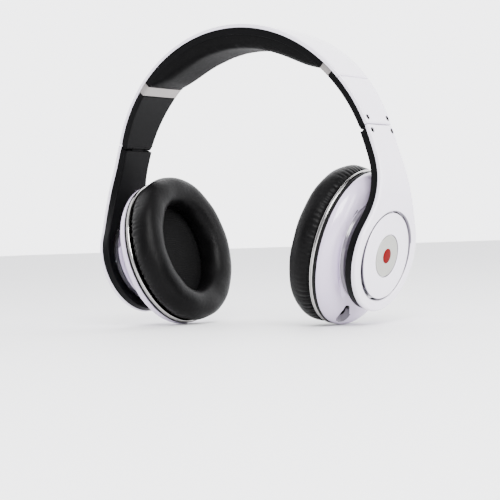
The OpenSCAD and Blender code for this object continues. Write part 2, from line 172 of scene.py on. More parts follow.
def grid_faces(rows, cols, start=0, wrap_rows=False, wrap_cols=False, flip=False):
    faces = []
    for i in range(rows if wrap_rows else rows - 1):
        for j in range(cols if wrap_cols else cols - 1):
            a = start + i * cols + j
            b = start + i * cols + (j + 1) % cols
            c = start + ((i + 1) % rows) * cols + (j + 1) % cols
            d = start + ((i + 1) % rows) * cols + j
            faces.append((d, c, b, a) if flip else (a, b, c, d))
    return faces


def loft(name, rings, side=1, closed=False, caps=False):
    """Skins a list of closed rings of points. Closed joins the last ring to the first."""
    rings = np.array(rings, float)
    rows, cols = rings.shape[:2]
    faces = grid_faces(rows, cols, wrap_rows=closed, wrap_cols=True)
    if caps:
        faces += [tuple(range(cols))[::-1], tuple(range((rows - 1) * cols, rows * cols))]
    return make(name, rings.reshape(-1, 3), faces, side)


def finish_piece(obj, body, nodes, material):
    """Puts a finished piece on its body, in place of its CAD nodes."""
    obj.data.materials.clear()
    obj.data.materials.append(material)
    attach(obj, body)
    if nodes:
        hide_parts(*nodes)
    return obj


def modify(obj, kind, **values):
    """Adds a modifier and applies it at once."""
    mod = obj.modifiers.new(kind.lower(), kind)
    for key, value in values.items():
        setattr(mod, key, value)
    bpy.context.view_layer.update()
    graph = bpy.context.evaluated_depsgraph_get()
    mesh = bpy.data.meshes.new_from_object(obj.evaluated_get(graph))
    obj.modifiers.clear()
    old = obj.data
    obj.data = mesh
    bpy.data.meshes.remove(old)
    return obj


def cut(obj, tools):
    """Cuts each tool's solid out of a piece."""
    for tool in tools:
        modify(obj, "BOOLEAN", operation="DIFFERENCE", object=tool, solver="MANIFOLD")
        bpy.data.objects.remove(tool)
    return obj


def sharpen(obj, degrees=32):
    """Smooth shading that keeps edges sharper than an angle."""
    mesh = obj.data
    work = bmesh.new()
    work.from_mesh(mesh)
    for f in work.faces:
        f.smooth = True
    for e in work.edges:
        e.smooth = not (len(e.link_faces) == 2
                        and e.calc_face_angle(0) > math.radians(degrees))
    work.to_mesh(mesh)
    work.free()
    return obj


# ---- paths and outlines ----

def half_width(z):
    """Half width of the band at a height."""
    heights = [EAR_Z + NECK_UP, BAND_R * math.cos(HINGE) + ARC_Z,
               BAND_R * math.cos(math.radians(45)) + ARC_Z, BAND_R + ARC_Z]
    return np.interp(z, heights, [NECK_HW, HINGE_HW, MID_HW, CROWN_HW])


def band_lift(points, depth):
    """(across, angle) on the band's outer face, sunk by a depth, as points."""
    y, angle = points[..., 0], points[..., 1]
    r = BAND_R - depth
    return np.stack([r * np.sin(angle), y, ARC_Z + r * np.cos(angle)], -1)


def bend(start, h0, h, radius):
    """From a start with heading h0 to heading h along a circle: heading 0 is straight down."""
    return np.stack([start[0] + radius * (np.cos(h) - np.cos(h0)),
                     start[1] + radius * (np.sin(h) - np.sin(h0))], -1)


ARM_ANGLE = HINGE + SEAM_HALF
ARM_HEAD = math.pi / 2 - ARM_ANGLE
ARM_START = np.array([BAND_R * math.sin(ARM_ANGLE), BAND_R * math.cos(ARM_ANGLE) + ARC_Z])
ARM_MID = bend(ARM_START, ARM_HEAD, ARM_TURN, ARM_BEND)
SHORT = ((ARM_MID[0] - EAR_X) * math.cos(TILT) - (ARM_MID[1] - EAR_Z) * math.sin(TILT))
LOW_BEND = -SHORT / (1 - math.cos(TILT + ARM_TURN))
ARM_LOW = bend(ARM_MID, ARM_TURN, -TILT, LOW_BEND)
S_LOW = math.hypot(ARM_LOW[0] - EAR_X, ARM_LOW[1] - EAR_Z)
S_MID = S_LOW + LOW_BEND * (TILT + ARM_TURN)
S_TOP = S_MID + ARM_BEND * (ARM_HEAD - ARM_TURN)


def arm_lift(points, depth):
    """(across, distance up the arm from the disc's centre), sunk by a depth, as points."""
    y, s = points[..., 0], points[..., 1]
    flat = np.stack([EAR_X + s * math.sin(TILT), EAR_Z + s * math.cos(TILT)], -1)
    h_low = -TILT + (s - S_LOW) / LOW_BEND
    h_top = ARM_TURN + (s - S_MID) / ARM_BEND
    low = bend(ARM_MID, ARM_TURN, h_low, LOW_BEND)
    top = bend(ARM_MID, ARM_TURN, h_top, ARM_BEND)
    on_flat, on_low = (s <= S_LOW)[..., None], (s <= S_MID)[..., None]
    place = np.where(on_flat, flat, np.where(on_low, low, top))
    h = np.where(on_flat[..., 0], -TILT, np.where(on_low[..., 0], h_low, h_top))
    return np.stack([place[..., 0] - depth * np.cos(h), y,
                     place[..., 1] - depth * np.sin(h)], -1)


def strip_outline(s0, s1, width, across=24, along=64):
    """A four-sided strip: its face grid and its edge loop, both for any inset."""
    end = 1 / BAND_R

    def at(u, v, inset):
        s = s0 + inset * end + v * (s1 - s0 - 2 * inset * end)
        return np.stack([u * (width(s) - inset), s], -1)

    def patches(inset):
        u, v = np.meshgrid(np.linspace(-1, 1, across + 1), np.linspace(0, 1, along + 1))
        return [at(u, v, inset)]

    def loops(inset):
        us, vs = np.linspace(-1, 1, across + 1), np.linspace(0, 1, along + 1)
        edge = [(u, 0) for u in us[:-1]] + [(1, v) for v in vs[:-1]]
        edge += [(u, 1) for u in us[:0:-1]] + [(-1, v) for v in vs[:0:-1]]
        u, v = np.array(edge).T
        return [at(u, v, inset)]

    return patches, loops


FILLET_R = (NECK_HW**2 + NECK_UP**2 - PADDLE_R**2) / (2 * (PADDLE_R - NECK_HW))
FILLET_END = math.atan2(NECK_UP, NECK_HW + FILLET_R)


def arm_outline(across=20, around=96):
    """The strap that flares into the round paddle with its hole."""
    us = np.linspace(-1, 1, across + 1)

    def side(inset):
        """Half widths and heights up one edge, from the paddle to the hinge."""
        a = np.linspace(FILLET_END, 0, 29)
        radius = FILLET_R + inset
        w = NECK_HW + FILLET_R - radius * np.cos(a)
        s = NECK_UP - radius * np.sin(a)
        top = S_TOP - inset
        more = np.linspace(0, 1, 9)[1:]
        w_top = HINGE_HW - inset
        return (np.append(w, w[-1] + (w_top - w[-1]) * more),
                np.append(s, NECK_UP + (top - NECK_UP) * more))

    def rim(inset):
        """Points round the paddle: over the top, then down the open side and back."""
        r = PADDLE_R - inset
        half = r * math.cos(FILLET_END)
        over = np.arcsin(us * half / r)
        below = np.linspace(over[-1], 2 * math.pi + over[0], around + 1)[1:]
        return r, half, np.append(over, below)

    def patches(inset):
        r, half, angles = rim(inset)
        inner = PADDLE_HOLE_R + inset
        share = np.linspace(0, 1, 7)[:, None]
        radius = inner + (r - inner) * share
        ring = np.stack([radius * np.sin(angles), radius * np.cos(angles)], -1)
        w, s = side(inset)
        v = np.linspace(0, 1, len(w))[:, None]
        bulge = np.sqrt(r**2 - (us * half) ** 2) - s[0]
        strap = np.stack([w[:, None] * us, s[:, None] + bulge * (1 - v) ** 2], -1)
        return [ring, strap]

    def loops(inset):
        r, _, angles = rim(inset)
        w, s = side(inset)
        down = np.stack([w[::-1], s[::-1]], -1)[:-1]
        low = angles[across:]
        below = np.stack([r * np.sin(low), r * np.cos(low)], -1)[:-1]
        up = np.stack([-w, s], -1)[:-1]
        over = np.stack([w[-1] * us, np.full_like(us, s[-1])], -1)[:-1]
        hole_r = PADDLE_HOLE_R + inset
        hole = np.stack([hole_r * np.sin(angles), hole_r * np.cos(angles)], -1)[:-1]
        return [np.concatenate([down, below, up, over]), hole]

    return patches, loops


def slab(name, outline, lift, edge, side=1):
    """A closed slab: edge lists (inset, depth) from its outer face down to its inner one."""
    patches, loops = outline
    verts, faces = [], []

    def add(points, extra):
        start = sum(len(v) for v in verts)
        verts.append(points.reshape(-1, 3))
        faces.extend(extra(start))

    for (inset, depth), flip in ((edge[0], False), (edge[-1], True)):
        for patch in patches(inset):
            rows, cols = patch.shape[:2]
            add(lift(patch, depth), lambda k: grid_faces(rows, cols, k, flip=flip))
    for number in range(len(loops(0.0))):
        rings = [lift(loops(inset)[number], depth) for inset, depth in edge]
        stack = np.array(rings)
        rows, cols = stack.shape[:2]
        add(stack, lambda k: grid_faces(rows, cols, k, wrap_cols=True))
    return make(name, np.concatenate(verts), faces, side)


def rounded(radius, depth, lower):
    """An edge: rounded on the outer face, square down to a depth, eased at the bottom."""
    turn = [math.pi / 2 * i / 5 for i in range(6)]
    top = [(radius * (1 - math.sin(a)), radius * (1 - math.cos(a))) for a in turn]
    bottom = [(lower * (1 - math.cos(a)), depth - lower + lower * math.sin(a))
              for a in turn[::2] + [math.pi / 2]]
    return top + bottom


# ---- the cup's shapes ----

def cup_point(up, fwd, a):
    """A point in the cup's frame: up and forward from the disc's centre, and outward."""
    up, fwd, a = np.broadcast_arrays(np.asarray(up, float), np.asarray(fwd, float),
                                     np.asarray(a, float))
    return (DISC_C + up[..., None] * UP + fwd[..., None] * FWD + a[..., None] * OUT)


def circle_ring(radius, a):
    """A ring about the disc's axis."""
    t = np.linspace(0, 2 * math.pi, 128, endpoint=False)
    return cup_point(radius * np.cos(t), radius * np.sin(t), a)


def oval_point(x, y, a):
    """A point in the leaning oval's frame: along its long and short axes, and outward."""
    c, s = math.cos(LEAN), math.sin(LEAN)
    up, fwd, a = np.broadcast_arrays(OVAL_UP + np.asarray(x, float) * c - y * s,
                                     OVAL_FWD + np.asarray(x, float) * s + y * c,
                                     np.asarray(a, float))
    return (PIVOT + up[..., None] * OVAL_UP_AXIS + fwd[..., None] * OVAL_FWD_AXIS
            + (a - PIVOT_A)[..., None] * OVAL_OUT)


def to_oval(points):
    """The reverse: (long axis, short axis, outward) of points in millimetres."""
    d = points - PIVOT
    up, fwd = d @ OVAL_UP_AXIS - OVAL_UP, d @ OVAL_FWD_AXIS - OVAL_FWD
    c, s = math.cos(LEAN), math.sin(LEAN)
    return up * c + fwd * s, fwd * c - up * s, d @ OVAL_OUT + PIVOT_A


def oval_ring(inset, a, count=128):
    """The cup's oval, drawn in by an inset."""
    t = np.linspace(0, 2 * math.pi, count, endpoint=False)
    return oval_point((CUP_UP - inset) * np.cos(t), (CUP_FWD - inset) * np.sin(t), a)


def lathe(name, profile, side):
    """Turns (radius, a) points about the disc's axis, closed at both ends of the list."""
    return loft(name, [circle_ring(r, a) for r, a in profile], side, caps=True)


# ---- materials ----

class Shader:
    """A small builder of node materials."""

    def __init__(self, name, colour, rough, metal=0.0, **sockets):
        self.material = bpy.data.materials.new(name)
        self.material.use_nodes = True
        self.tree = self.material.node_tree
        self.bsdf = self.tree.nodes["Principled BSDF"]
        self.set("Base Color", (*colour, 1))
        self.set("Roughness", rough)
        self.set("Metallic", metal)
        for key, value in sockets.items():
            self.set(key.replace("_", " "), value)
        self.normal = None

    def set(self, socket, value):
        self.bsdf.inputs[socket].default_value = value

    def node(self, kind, **values):
        node = self.tree.nodes.new(kind)
        for key, value in values.items():
            if key in node.inputs:
                node.inputs[key].default_value = value
            else:
                setattr(node, key, value)
        return node

    def link(self, out, into):
        self.tree.links.new(out, into)

    def coords(self, scale=(1, 1, 1)):
        place = self.node("ShaderNodeTexCoord")
        mapping = self.node("ShaderNodeMapping")
        mapping.inputs["Scale"].default_value = scale
        self.link(place.outputs["Object"], mapping.inputs["Vector"])
        return mapping.outputs["Vector"]

    def noise(self, scale, detail, stretch=(1, 1, 1)):
        node = self.node("ShaderNodeTexNoise", Scale=scale, Detail=detail)
        self.link(self.coords(stretch), node.inputs["Vector"])
        return node.outputs["Fac"]

    def grain(self, scale):
        """Fine cells, as in leather: the distance to the nearest crease."""
        node = self.node("ShaderNodeTexVoronoi", Scale=scale, feature="DISTANCE_TO_EDGE")
        self.link(self.coords(), node.inputs["Vector"])
        return node.outputs["Distance"]

    def ramp(self, value, low, high):
        node = self.node("ShaderNodeMapRange")
        node.inputs["To Min"].default_value = low
        node.inputs["To Max"].default_value = high
        self.link(value, node.inputs["Value"])
        return node.outputs["Result"]

    def vary_rough(self, value, low, high):
        self.link(self.ramp(value, low, high), self.bsdf.inputs["Roughness"])

    def vary_colour(self, value, dark, light):
        node = self.node("ShaderNodeMix", data_type="RGBA")
        node.inputs[6].default_value = (*dark, 1)
        node.inputs[7].default_value = (*light, 1)
        self.link(value, node.inputs[0])
        self.link(node.outputs[2], self.bsdf.inputs["Base Color"])

    def bump(self, value, strength, distance):
        node = self.node("ShaderNodeBump", Strength=strength, Distance=distance)
        self.link(value, node.inputs["Height"])
        if self.normal is not None:
            self.link(self.normal, node.inputs["Normal"])
        self.normal = node.outputs["Normal"]
        self.link(self.normal, self.bsdf.inputs["Normal"])


def gloss_white(name, low, high):
    """Moulded gloss plastic under a clear coat, between the colours low and high: white with a faint lavender
    cast, or a darker copy of it as painted shade.
    """
    s = Shader(name, (0.80, 0.78, 0.85), 0.16, Coat_Weight=0.7,
               Coat_Roughness=0.03)
    s.set("Specular IOR Level", 0.5)
    s.vary_colour(s.noise(60, 2), low, high)
    s.vary_rough(s.noise(900, 4), 0.12, 0.22)
    s.bump(s.noise(260, 2), 0.05, 0.0002)
    return s.material


def soft_black():
    """Soft-touch black paint with a very fine tooth."""
    s = Shader("soft_black", (0.0015, 0.0015, 0.0017), 0.45, Specular_IOR_Level=0.06)
    s.vary_colour(s.noise(45, 3), (0.001, 0.001, 0.0012), (0.0022, 0.0022, 0.0025))
    s.vary_rough(s.noise(1500, 3), 0.34, 0.52)
    s.bump(s.noise(5200, 2), 0.25, 0.00006)
    return s.material


def pad_skin():
    """The head cushion's soft black skin over foam."""
    s = Shader("pad_skin", (0.0015, 0.0015, 0.0015), 0.55, Specular_IOR_Level=0.05)
    s.vary_colour(s.noise(70, 3), (0.001, 0.001, 0.0011), (0.0025, 0.0025, 0.0027))
    s.vary_rough(s.noise(700, 4), 0.45, 0.66)
    s.bump(s.noise(240, 3), 0.18, 0.0006)
    s.bump(s.grain(2600), 0.3, 0.00012)
    return s.material


def ear_leather():
    """Soft black leatherette: creased cells over fine grain."""
    s = Shader("ear_leather", (0.0015, 0.0015, 0.0015), 0.4, Specular_IOR_Level=0.08)
    s.vary_colour(s.noise(90, 3), (0.0009, 0.0009, 0.001), (0.0028, 0.0026, 0.0028))
    s.vary_rough(s.noise(600, 4), 0.32, 0.52)
    s.bump(s.noise(420, 4), 0.3, 0.0005)
    s.bump(s.grain(2100), 0.35, 0.00016)
    return s.material


def bright_trim():
    """Polished metal, with the faintest polishing marks."""
    s = Shader("bright_trim", (0.46, 0.45, 0.44), 0.07, 1.0)
    s.vary_rough(s.noise(800, 3), 0.04, 0.12)
    s.bump(s.noise(500, 2), 0.03, 0.0001)
    return s.material


def satin_metal():
    """Brushed satin steel, drawn out across the band."""
    s = Shader("satin_metal", (0.31, 0.29, 0.28), 0.32, 1.0)
    s.vary_rough(s.noise(300, 4, (1, 14, 1)), 0.24, 0.42)
    s.bump(s.noise(900, 3, (6, 0.4, 6)), 0.12, 0.0001)
    return s.material


def plain_steel():
    s = Shader("plain_steel", (0.5, 0.5, 0.52), 0.3, 1.0)
    s.vary_rough(s.noise(500, 4), 0.22, 0.4)
    s.bump(s.noise(1800, 3), 0.08, 0.0001)
    return s.material


def black_screw():
    s = Shader("black_screw", (0.001, 0.001, 0.001), 0.5, Specular_IOR_Level=0.03)
    s.vary_rough(s.noise(2500, 3), 0.3, 0.5)
    s.bump(s.noise(3000, 2), 0.1, 0.0001)
    return s.material


def black_seal():
    s = Shader("black_seal", (0.002, 0.002, 0.002), 0.6, Specular_IOR_Level=0.15)
    s.vary_rough(s.noise(1200, 3), 0.5, 0.7)
    s.bump(s.noise(2600, 2), 0.15, 0.00008)
    return s.material


def dark_plastic():
    s = Shader("dark_plastic", (0.004, 0.004, 0.0045), 0.38, Specular_IOR_Level=0.3)
    s.vary_rough(s.noise(1000, 4), 0.3, 0.5)
    s.bump(s.noise(3600, 3), 0.2, 0.00008)
    return s.material


def screen_cloth():
    """Open-weave black cloth over the loudspeaker."""
    s = Shader("screen_cloth", (0.004, 0.004, 0.004), 0.8, Specular_IOR_Level=0.1)
    weave = s.node("ShaderNodeTexWave", Scale=1100.0)
    s.link(s.coords(), weave.inputs["Vector"])
    cross = s.node("ShaderNodeTexWave", Scale=1100.0, bands_direction="Z")
    s.link(s.coords(), cross.inputs["Vector"])
    both = s.node("ShaderNodeMath", operation="MULTIPLY")
    s.link(weave.outputs["Fac"], both.inputs[0])
    s.link(cross.outputs["Fac"], both.inputs[1])
    s.vary_colour(both.outputs[0], (0.0015, 0.0015, 0.0015), (0.008, 0.008, 0.0085))
    s.bump(both.outputs[0], 0.6, 0.0003)
    return s.material


def spun_badge():
    """Satin aluminium, turned on a lathe: fine rings round the disc's axis."""
    s = Shader("spun_badge", (0.40, 0.40, 0.37), 0.34, 0.85)
    s.vary_rough(s.noise(700, 4), 0.28, 0.42)
    s.bump(s.noise(2600, 2), 0.06, 0.00005)
    return s.material


def inlay_red():
    s = Shader("inlay_red", (0.12, 0.0004, 0.0008), 0.4, Specular_IOR_Level=0.03)
    s.vary_colour(s.noise(200, 2), (0.11, 0.0003, 0.0006), (0.13, 0.0004, 0.0008))
    s.bump(s.noise(1500, 2), 0.05, 0.00005)
    return s.material


def speckled(name, colour, rough, metal=0.0):
    """A plain moulded or painted surface with a little life in it, for inner pieces."""
    s = Shader(name, colour, rough, metal)
    darker = tuple(c * 0.8 for c in colour)
    lighter = tuple(min(1, c * 1.15) for c in colour)
    s.vary_colour(s.noise(500, 4), darker, lighter)
    s.bump(s.noise(2200, 3), 0.12, 0.0001)
    return s.material


WHITE = gloss_white("gloss_white", (0.74, 0.695, 0.79), (0.78, 0.735, 0.83))
# A darker, deeper lavender copy of the white for the cup housing: painted shade, the whole housing coloured darker
# than the arms as it lies in their shade.
WHITE_IN_PAINTED_SHADE = gloss_white("gloss_white_painted_shade", (0.60, 0.52, 0.69), (0.64, 0.56, 0.73))
# A near-black copy of the gloss plastic: painted shade, laid on the walls of gaps and recesses in place of their
# shadow.
PAINTED_SHADE = gloss_white("gloss_painted_shade", (0.115, 0.10, 0.13), (0.135, 0.12, 0.15))
BLACK, SKIN, LEATHER = soft_black(), pad_skin(), ear_leather()
CHROME, SATIN, STEEL, SCREW = bright_trim(), satin_metal(), plain_steel(), black_screw()
SEAL, DARK, SCREEN, BADGE = black_seal(), dark_plastic(), screen_cloth(), spun_badge()
RED = inlay_red()
MAGNET = speckled("magnet", (0.36, 0.36, 0.38), 0.28, 1.0)
FILM = speckled("diaphragm_film", (0.22, 0.20, 0.17), 0.35)
BOARD = speckled("circuit_board", (0.02, 0.13, 0.06), 0.4)
CELL = speckled("battery_wrap", (0.06, 0.16, 0.34), 0.35)
LENS = speckled("lens_red", (0.4, 0.03, 0.03), 0.1)
SLOT_LOOKS = {
    "white_shell": WHITE, "black_liner": BLACK, "head_pad": SKIN, "steel": STEEL,
    "satin_metal": SATIN, "dark_screw": SCREW, "seal": SEAL, "bright_trim": CHROME,
    "dark_plastic": DARK, "magnet": MAGNET, "diaphragm": FILM, "screen_cloth": SCREEN,
    "ear_leather": LEATHER, "circuit_board": BOARD, "badge": BADGE, "battery": CELL,
    "lens": LENS,
}


def dress_cad_nodes():
    """Gives every CAD node that stays the look of its material slot."""
    slots = {p["node"]: p["material_slot"] for p in frame["record"]["subparts"]}
    for name, obj in frame["nodes"].items():
        look = SLOT_LOOKS[slots[name]]
        if not obj.data.materials:
            obj.data.materials.append(look)
        for place in obj.material_slots:
            place.material = look


# ---- headband ----

def band_width(angle):
    return half_width(ARC_Z + BAND_R * np.cos(angle))


def crowned(lift, width):
    """The same surface, a little lower towards its long edges."""
    def crown(points, depth):
        y = points[..., 0]
        fall = CROWN_FALL * (y / width) ** 2
        return lift(points, np.maximum(depth, 0) + fall * np.clip(1 - depth / SHELL_T, 0, 1))
    return crown


def shell_strip(name, a0, a1, side=1, along=64):
    outline = strip_outline(a0, a1, band_width, along=along)
    return slab(name, outline, crowned(band_lift, CROWN_HW),
                rounded(1.1, SHELL_T, 0.15), side)


def screw_ring(step, y, r, up, side_shape=1.0, count=36):
    """A ring of a hinge screw, its middle up from the band's outer face."""
    t = np.linspace(0, 2 * math.pi, count, endpoint=False)
    angle = HINGE + step * DEGREE
    out = np.array([math.sin(angle), 0, math.cos(angle)])
    along = np.array([math.cos(angle), 0, -math.sin(angle)])
    across = np.array([0, 1, 0])
    return (np.array([0, y, ARC_Z]) + (BAND_R + up) * out
            + r * (side_shape * np.cos(t))[:, None] * along
            + r * (side_shape * np.sin(t))[:, None] * across)


def hinge_screws(side, word, part, step):
    """The two low black screw heads, each with a hexagonal socket."""
    t = np.linspace(0, 2 * math.pi, 36, endpoint=False)
    hexagon = math.cos(math.pi / 6) / np.cos((t + math.pi / 6) % (math.pi / 3) - math.pi / 6)
    profile = [(0.7, -5.0, 1.0), (0.7, -1.6, 1.0),
               (SCREW_HEAD_R, -1.6, 1.0), (SCREW_HEAD_R, -0.5, 1.0),
               (SCREW_HEAD_R - 0.12, -0.36, 1.0), (SCREW_HEAD_R - 0.4, -0.3, 1.0),
               (0.78, -0.28, hexagon), (0.72, -0.34, hexagon), (0.7, -1.1, hexagon)]
    heads = [loft("screw_head", [screw_ring(step, y, r, up, shape)
                                 for r, up, shape in profile], side, caps=True)
             for y in (-SCREW_Y, SCREW_Y)]
    obj = join(heads[0], heads[1:])
    obj.name = word + "_" + part + "_screws_skin"
    finish_piece(sharpen(obj, 35), word + "_" + part, [word + "_" + part + "_screws"],
                 SCREW)


def screw_holes(side, step, deep=1.5):
    """Tools that cut the pair of screw recesses on one side of the hinge seam."""
    return [loft("tool", [screw_ring(step, y, SCREW_HOLE_R, up, count=32)
                          for up in (-SHELL_T - deep, 3)], side, caps=True)
            for y in (-SCREW_Y, SCREW_Y)]


def hinge_rod(r, y0, y1, side):
    """A closed rod along Y through the folding hinge."""
    t = np.linspace(0, 2 * math.pi, 40, endpoint=False)
    x = HINGE_R * math.sin(HINGE) + r * np.cos(t)
    z = ARC_Z + HINGE_R * math.cos(HINGE) + r * np.sin(t)
    rings = [np.stack([x, np.full_like(x, y), z], -1) for y in (y0, y1)]
    return loft("tool", rings, side, caps=True)


def arc_block(a0, a1, r0, r1, hw, side):
    """A plain stretch of the arc, as a tool."""
    outline = strip_outline(a0, a1, lambda a: np.full_like(a, hw), across=4, along=8)
    return slab("tool", outline, band_lift, [(0.0, BAND_R - r1), (0.0, BAND_R - r0)], side)


def paint_gap_shadow(obj, side, near, far):
    """Gives faces between two distances from the disc's axis painted shade, dark as the shadow on a gap's walls.
    """
    if len(obj.data.materials) == 1:
        obj.data.materials.append(PAINTED_SHADE)
    for face in obj.data.polygons:
        p = np.array(face.center) / MM * (side, 1, 1) - DISC_C
        away = np.linalg.norm(p - (p @ OUT) * OUT)
        if near < away < far:
            face.material_index = 1


def join(obj, tools):
    """Joins each tool's solid to a piece."""
    for tool in tools:
        modify(obj, "BOOLEAN", operation="UNION", object=tool, solver="MANIFOLD")
        bpy.data.objects.remove(tool)
    return obj


def liner_edge(depth, ease, inset=0.0):
    """An edge that starts under the shell and is eased at the bottom."""
    turn = [math.pi / 2 * i / 4 for i in range(5)]
    return [(inset, SHELL_T)] + [(inset + ease * (1 - math.cos(a)),
                                  depth - ease + ease * math.sin(a)) for a in turn]


def headband():
    shell = shell_strip("headband_shell_skin", -SEAM, SEAM, along=128)
    finish_piece(sharpen(shell), "headband", ["headband_shell"], WHITE)
    outline = strip_outline(-CUSHION_END, CUSHION_END, lambda a: band_width(a) - 0.25,
                            along=128)
    liner = slab("headband_liner_skin", outline, band_lift,
                 liner_edge(BAND_R - LINER_R, 0.5))
    finish_piece(sharpen(liner), "headband", ["headband_liner"], BLACK)


def end_collar(side, word):
    gap = math.radians(0.15)
    outline = strip_outline(CUSHION_END + gap, SLIDER_TOP - gap,
                            lambda a: band_width(a) - 0.35, along=10)
    obj = slab(word + "_end_collar_skin", outline, band_lift,
               liner_edge(BAND_R - SLIDER_LOW, 0.5), side)
    finish_piece(sharpen(obj), "headband", [word + "_end_collar"], SATIN)


def slider_liner(side, word):
    """The black lining under the slider's shell, hollow round the rail."""
    depth = BAND_R - SLIDER_LOW
    outline = strip_outline(SLIDER_TOP, HINGE - SEAM_HALF, lambda a: band_width(a) - 0.3,
                            along=40)
    obj = slab(word + "_slider_liner_skin", outline, band_lift, liner_edge(depth, 0.5), side)
    room = strip_outline(SLIDER_TOP - 0.03, HOLLOW_END, lambda a: band_width(a) - 2,
                         along=20)
    seat = arc_block(SLIDER_TOP - 0.03, SEAM + 0.6 * DEGREE, BAND_R - SHELL_T - GAP,
                     BAND_R, PAST_EDGE, side)
    cut(obj, [slab("tool", room, band_lift, [(0.0, SHELL_T - 1), (0.0, HOLLOW_DEPTH)], side),
              seat])
    join(obj, [hinge_rod(BARREL_R, KNUCKLE_HW + GAP, BARREL_HW, side),
               hinge_rod(BARREL_R, -BARREL_HW, -KNUCKLE_HW - GAP, side)])
    cut(obj, [hinge_rod(BARREL_R + GAP, -KNUCKLE_HW - GAP, KNUCKLE_HW + GAP, side)])
    cut(obj, screw_holes(side, -SCREW_STEP, 3.4))
    finish_piece(sharpen(obj), word + "_slider", [word + "_slider_liner"],
                 BLACK)


def arm_liner(side, word):
    """The black lining of the arm, with its knuckle and the notch that lets it fold."""
    obj = slab(word + "_arm_liner_skin", arm_outline(), arm_lift,
               liner_edge(ARM_T, 0.6, 0.3), side)
    notch = arc_block(HINGE - 5 * DEGREE, HINGE + 1.55 * DEGREE, HINGE_R - 6, HINGE_R - 0.6,
                      PAST_EDGE, side)
    cut(obj, [hinge_rod(BARREL_R + GAP, -PAST_EDGE, PAST_EDGE, side), notch])
    join(obj, [hinge_rod(BARREL_R, -KNUCKLE_HW, KNUCKLE_HW, side),
               arc_block(HINGE + 0.4 * DEGREE, HINGE + 2.6 * DEGREE, HINGE_R - 1.2,
                         BAND_R - SHELL_T - 0.2, KNUCKLE_HW - GAP, side)])
    cut(obj, screw_holes(side, SCREW_STEP, 3.4))
    finish_piece(sharpen(obj), word + "_arm", [word + "_arm_liner"], BLACK)


def slider(side, word):
    gap = math.radians(0.2)
    shell = shell_strip(word + "_slider_shell_skin", SEAM + gap, HINGE - SEAM_HALF, side, 32)
    cut(shell, screw_holes(side, -SCREW_STEP))
    finish_piece(sharpen(shell), word + "_slider", [word + "_slider_shell"],
                 WHITE)


def arm(side, word):
    outline = arm_outline()
    shell = slab(word + "_arm_shell_skin", outline, arm_lift, rounded(1.3, SHELL_T, 0.15),
                 side)
    cut(shell, screw_holes(side, SCREW_STEP))
    finish_piece(sharpen(shell), word + "_arm", [word + "_arm_shell"], WHITE)
    # The wall of the paddle's hole gets painted shade.
    paint_gap_shadow(shell, side, 0, PADDLE_HOLE_R + 0.2)


# ---- cups ----

def dome(side, word):
    """The white housing: a broad shoulder, a step, and the neck that carries the disc."""
    shoulder = [(1.7, GROOVE_A), (1.7, GROOVE_A + 0.34), (0.6, GROOVE_A + 0.36),
                (0.2, GROOVE_A + 0.55), (0.0, GROOVE_A + 1.3), (0.5, -20.9),
                (1.7, -18.9), (3.4, -17.3), (5.6, -16.0), (8.2, -15.1), (10.8, -14.7)]
    outer = [oval_ring(q, a) for q, a in shoulder]
    step = [(28.6, -13.8), (27.9, -13.6), (27.6, -13.3), (27.5, -12.5), (27.2, -12.0),
            (26.6, -11.8), (22.4, -11.8), (21.7, -11.6), (21.5, -11.0), (21.5, -3.3),
            (19.2, -3.3), (19.2, -14.9)]
    outer += [circle_ring(r, a) for r, a in step]
    inner = [oval_ring(q + 2, a - 2) for q, a in shoulder[:2:-1]]
    inner.append(oval_ring(2.6, GROOVE_A))
    obj = loft(word + "_cup_housing_skin", outer + inner, side, closed=True)
    cut(obj, jack_scoop() if side > 0 else switch_slots(side))
    # The housing takes the darker copy of the white, as painted shade.
    finish_piece(sharpen(obj, 40), word + "_cup", [word + "_cup_housing"],
                 WHITE_IN_PAINTED_SHADE)
    paint_recess_shadow(obj, side)


def paint_recess_shadow(obj, side):
    """Gives the neck's foot and the jack's mouth painted shade, dark as the shadow in their recesses."""
    obj.data.materials.append(PAINTED_SHADE)
    for face in obj.data.polygons:
        p = np.array(face.center) / MM * (side, 1, 1)
        from_disc = p - DISC_C
        along = from_disc @ OUT
        if np.linalg.norm(from_disc - along * OUT) < FOOT_R and along > FOOT_A:
            face.material_index = 1
        from_jack = p - cup_point(*JACK_AT)
        reach = from_jack @ JACK_OUT
        off_axis = np.linalg.norm(from_jack - reach * JACK_OUT)
        if side > 0 and -8.8 < reach < 5 and off_axis < 6 and on_scoop(reach, off_axis):
            face.material_index = 1


def on_scoop(reach, off_axis):
    """Whether a face's middle lies on the mouth's own wall."""
    wall = np.interp(reach, [q for q, r in SCOOP], [r for q, r in SCOOP])
    return wall - 0.35 < off_axis < wall + 0.05


def jack_scoop():
    """The flared opening over the sunk jack socket."""
    other = np.cross(JACK_OUT, FWD)
    t = np.linspace(0, 2 * math.pi, 48, endpoint=False)
    rings = []
    for reach, r in SCOOP:
        centre = cup_point(*JACK_AT) + reach * JACK_OUT
        rings.append(centre + r * (np.cos(t)[:, None] * FWD + np.sin(t)[:, None] * other))
    return [loft("tool", rings, caps=True)]


def switch_slots(side):
    """The power switch's slot and the lens's hole, at the back of the cup."""
    t = np.linspace(0, 2 * math.pi, 40, endpoint=False)
    long_x = -2 + 3.3 * np.sign(np.cos(t)) * np.abs(np.cos(t)) ** 0.3
    slot_x = long_x + 0.7 * np.cos(t)
    slot_a = -20.3 + 1.3 * np.sign(np.sin(t)) * np.abs(np.sin(t)) ** 0.6
    slot = [oval_point(slot_x, np.full_like(t, y), slot_a)
            for y in (-CUP_FWD - 4, -CUP_FWD + 5.8)]
    hole = [oval_point(8 + 1.05 * np.cos(t), np.full_like(t, y), -20.3 + 1.05 * np.sin(t))
            for y in (-CUP_FWD - 4, -CUP_FWD + 5)]
    return [loft("tool", rings, side, caps=True) for rings in (slot, hole)]


